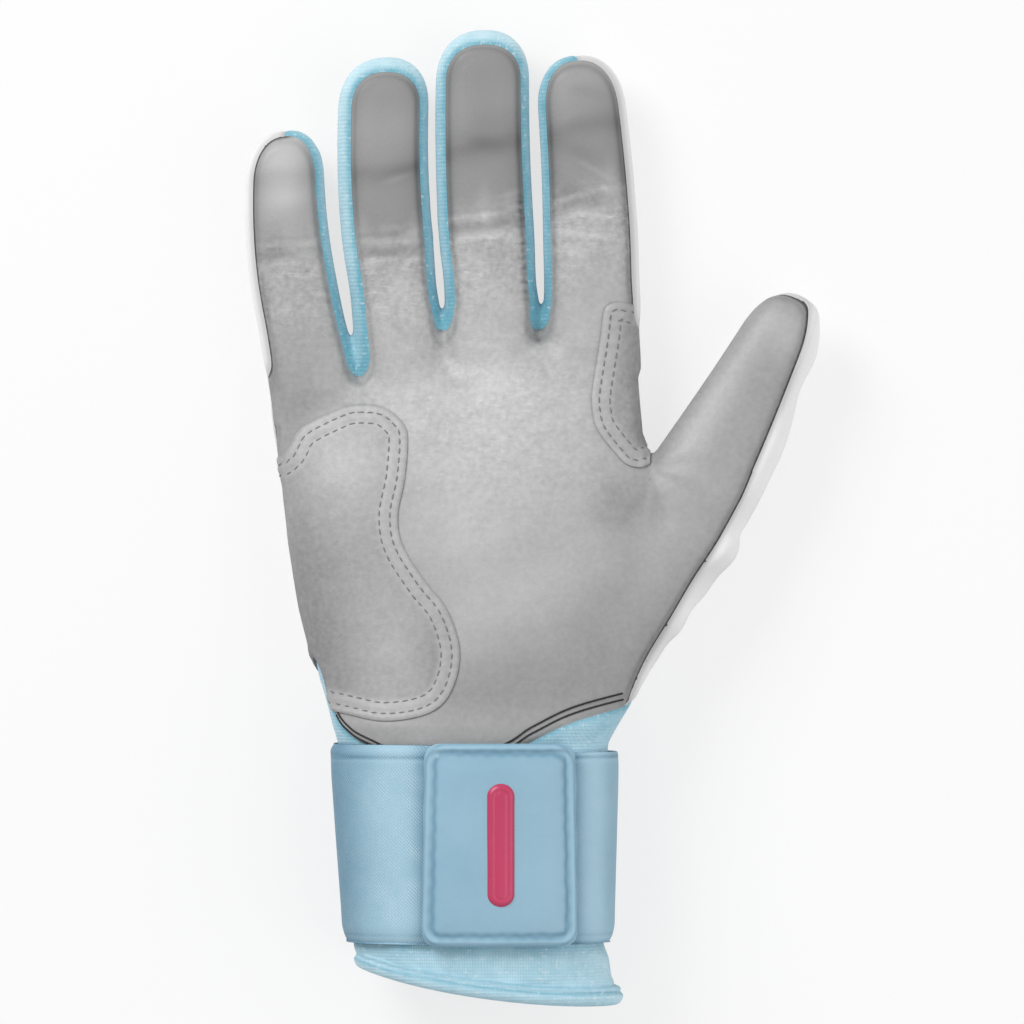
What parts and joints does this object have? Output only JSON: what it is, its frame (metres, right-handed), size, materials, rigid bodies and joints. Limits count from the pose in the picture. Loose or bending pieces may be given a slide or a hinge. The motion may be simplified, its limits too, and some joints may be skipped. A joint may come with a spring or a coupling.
{
  "type": "batting glove",
  "caption": "Right-hand batting glove with a padded leather palm, stretch finger gussets, a long knit cuff and a wrap-round wrist strap that closes with a hook-and-loop tab.",
  "frame": {"origin": "centre of the bounding box in plan, on the plane that the back of the glove rests on", "axes": "+Z out of the palm, +Y towards the fingertips, +X towards the thumb"},
  "size_m": [0.156, 0.2636, 0.0465],
  "materials": {
    "palm_leather": "soft grained grey sheepskin, slightly waxy",
    "patch_leather": "grained grey leather overlay with two rows of stitching",
    "white_leather": "smooth white synthetic leather",
    "stretch_mesh": "pale blue two-way stretch knit",
    "cuff_knit": "pale blue ribbed stretch knit",
    "strap_elastic": "blue woven elastic with a diagonal twill",
    "tab_vinyl": "smooth blue moulded synthetic leather",
    "fastener_nylon": "hook-and-loop nylon pile",
    "accent_rubber": "raspberry red moulded rubber"
  },
  "bodies": {
    "hand": {"palm_panel": "palm_leather", "heel_patch": "patch_leather", "index_patch": "patch_leather", "back_of_hand": "white_leather", "knuckle_insert": "stretch_mesh", "fourchette_pinky_ring": "stretch_mesh", "fourchette_ring_middle": "stretch_mesh", "fourchette_middle_index": "stretch_mesh", "cuff": "cuff_knit", "cuff_binding": "cuff_knit", "strap_anchor_band": "strap_elastic", "loop_patch": "fastener_nylon"},
    "strap": {"strap_elastic": "strap_elastic"},
    "tab": {"closure_tab": "tab_vinyl", "hook_patch": "fastener_nylon", "tab_accent": "accent_rubber"},
    "pinky_base": {"pinky_base_front": "palm_leather", "pinky_base_gusset": "stretch_mesh", "pinky_base_back": "white_leather"},
    "pinky_tip": {"pinky_tip_front": "palm_leather", "pinky_tip_gusset": "stretch_mesh", "pinky_tip_back": "white_leather"},
    "ring_base": {"ring_base_front": "palm_leather", "ring_base_gusset_left": "stretch_mesh", "ring_base_gusset_right": "stretch_mesh", "ring_base_back": "white_leather"},
    "ring_tip": {"ring_tip_front": "palm_leather", "ring_tip_gusset": "stretch_mesh", "ring_tip_back": "white_leather"},
    "middle_base": {"middle_base_front": "palm_leather", "middle_base_gusset_left": "stretch_mesh", "middle_base_gusset_right": "stretch_mesh", "middle_base_back": "white_leather"},
    "middle_tip": {"middle_tip_front": "palm_leather", "middle_tip_gusset": "stretch_mesh", "middle_tip_back": "white_leather"},
    "index_base": {"index_base_front": "palm_leather", "index_base_gusset": "stretch_mesh", "index_base_back": "white_leather"},
    "index_tip": {"index_tip_front": "palm_leather", "index_tip_gusset": "stretch_mesh", "index_tip_back": "white_leather"},
    "thumb_base": {"thumb_base_front": "palm_leather", "thumb_base_back": "white_leather"},
    "thumb_tip": {"thumb_tip_front": "palm_leather", "thumb_tip_back": "white_leather"}
  },
  "joints": [
    {"name": "pinky_knuckle", "type": "hinge", "parent": "hand", "child": "pinky_base", "pos_m": [-0.06162, 0.04627, 0.0192], "axis": [1, 0, 0], "range_deg": [0, 80]},
    {"name": "pinky_crease", "type": "hinge", "parent": "pinky_base", "child": "pinky_tip", "pos_m": [-0.06626, 0.07227, 0.019], "axis": [1, 0, 0], "range_deg": [0, 90]},
    {"name": "ring_knuckle", "type": "hinge", "parent": "hand", "child": "ring_base", "pos_m": [-0.03732, 0.05637, 0.01985], "axis": [1, 0, 0], "range_deg": [0, 80]},
    {"name": "ring_crease", "type": "hinge", "parent": "ring_base", "child": "ring_tip", "pos_m": [-0.03952, 0.07487, 0.01975], "axis": [1, 0, 0], "range_deg": [0, 90]},
    {"name": "middle_knuckle", "type": "hinge", "parent": "hand", "child": "middle_base", "pos_m": [-0.01132, 0.05807, 0.02015], "axis": [1, 0, 0], "range_deg": [0, 80]},
    {"name": "middle_crease", "type": "hinge", "parent": "middle_base", "child": "middle_tip", "pos_m": [-0.01274, 0.07757, 0.02007], "axis": [1, 0, 0], "range_deg": [0, 90]},
    {"name": "index_knuckle", "type": "hinge", "parent": "hand", "child": "index_base", "pos_m": [0.01598, 0.05807, 0.02005], "axis": [1, 0, 0], "range_deg": [0, 80]},
    {"name": "index_crease", "type": "hinge", "parent": "index_base", "child": "index_tip", "pos_m": [0.01543, 0.07857, 0.01996], "axis": [1, 0, 0], "range_deg": [0, 90]},
    {"name": "thumb_knuckle", "type": "hinge", "parent": "hand", "child": "thumb_base", "pos_m": [0.04678, 0.00997, 0.02595], "axis": [0.8846, -0.4664, 0], "range_deg": [0, 45]},
    {"name": "thumb_crease", "type": "hinge", "parent": "thumb_base", "child": "thumb_tip", "pos_m": [0.05888, 0.03185, 0.0252], "axis": [0.8846, -0.4664, 0], "range_deg": [0, 60]},
    {"name": "strap_swing", "type": "hinge", "parent": "hand", "child": "strap", "pos_m": [-0.0549, -0.0878, 0.0214], "axis": [0, -1, 0], "range_deg": [0, 150]},
    {"name": "tab_peel", "type": "hinge", "parent": "strap", "child": "tab", "pos_m": [-0.0295, -0.0878, 0.0426], "axis": [0, -1, 0], "range_deg": [0, 75]}
  ]
}
